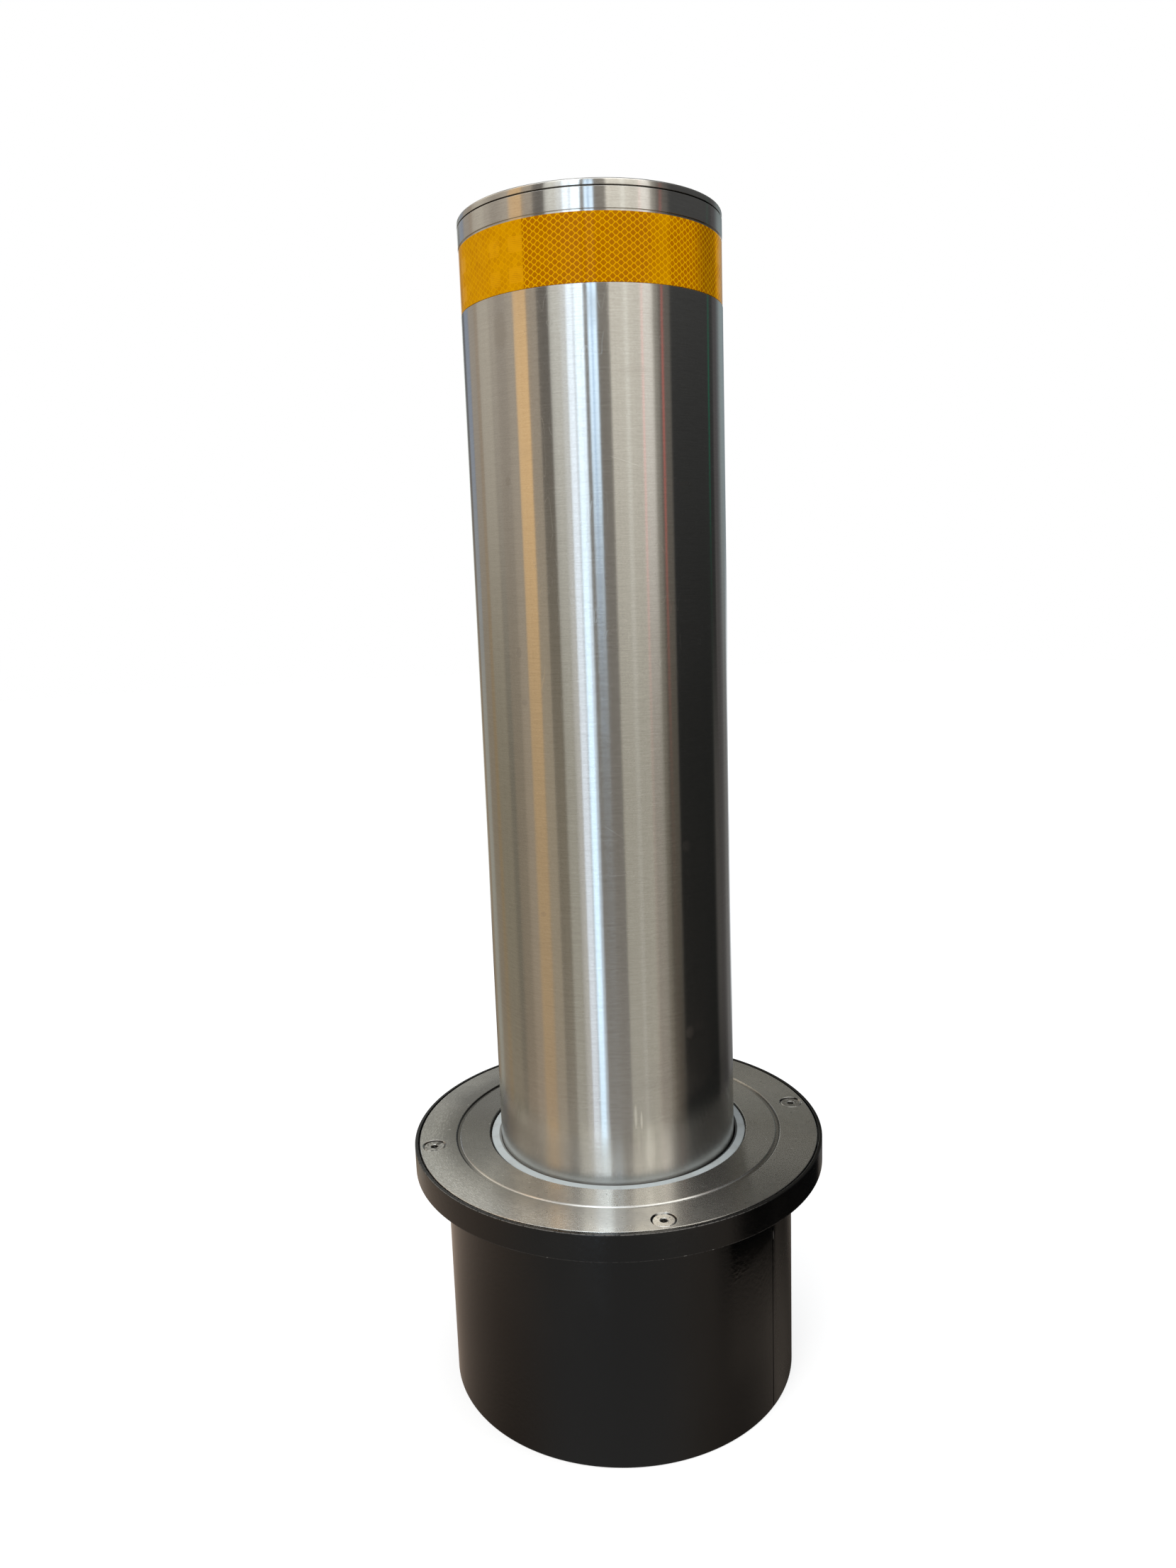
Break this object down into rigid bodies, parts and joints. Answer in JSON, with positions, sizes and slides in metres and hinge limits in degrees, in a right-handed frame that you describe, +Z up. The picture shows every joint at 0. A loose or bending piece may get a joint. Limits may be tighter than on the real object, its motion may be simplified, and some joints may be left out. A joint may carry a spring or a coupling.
{
  "type": "fixed street bollard",
  "caption": "Fixed traffic bollard: brushed stainless post with a yellow reflective band, round cover plate and a painted steel foundation housing.",
  "frame": {"origin": "centre of the housing's underside", "axes": "+Z up along the post; the cover's screws lie on +X, +Y, -X and -Y"},
  "size_m": [0.3809, 0.381, 1.032],
  "materials": {
    "post_steel": "circumferentially brushed stainless steel",
    "cover_steel": "satin, randomly scuffed stainless steel",
    "screw_steel": "bright turned stainless steel",
    "black_paint": "semi-gloss black paint over steel",
    "mill_steel": "dull rolled steel plate",
    "zinc_steel": "zinc-plated steel",
    "seal_plastic": "satin bluish white plastic",
    "reflective_tape": "glossy amber retroreflective film with a diamond lattice"
  },
  "bodies": {
    "root": {"housing_wall": "black_paint", "floor_plate": "black_paint", "flange_ring": "black_paint", "rim_band": "black_paint", "cover_plate": "cover_steel", "seal_ring": "seal_plastic", "post_tube": "post_steel", "reflective_band": "reflective_tape", "cap_seat_ring": "mill_steel", "top_cap": "post_steel", "foot_flange": "mill_steel", "cover_screw_1": "screw_steel", "cap_screw_1": "screw_steel", "foot_gusset_1": "mill_steel", "foot_stud_1": "zinc_steel", "foot_washer_1": "zinc_steel", "foot_nut_1": "zinc_steel", "cover_screw_2": "screw_steel", "cap_screw_2": "screw_steel", "foot_gusset_2": "mill_steel", "foot_stud_2": "zinc_steel", "foot_washer_2": "zinc_steel", "foot_nut_2": "zinc_steel", "cover_screw_3": "screw_steel", "cap_screw_3": "screw_steel", "foot_gusset_3": "mill_steel", "foot_stud_3": "zinc_steel", "foot_washer_3": "zinc_steel", "foot_nut_3": "zinc_steel", "cover_screw_4": "screw_steel", "cap_screw_4": "screw_steel", "foot_gusset_4": "mill_steel", "foot_stud_4": "zinc_steel", "foot_washer_4": "zinc_steel", "foot_nut_4": "zinc_steel"}
  },
  "joints": []
}
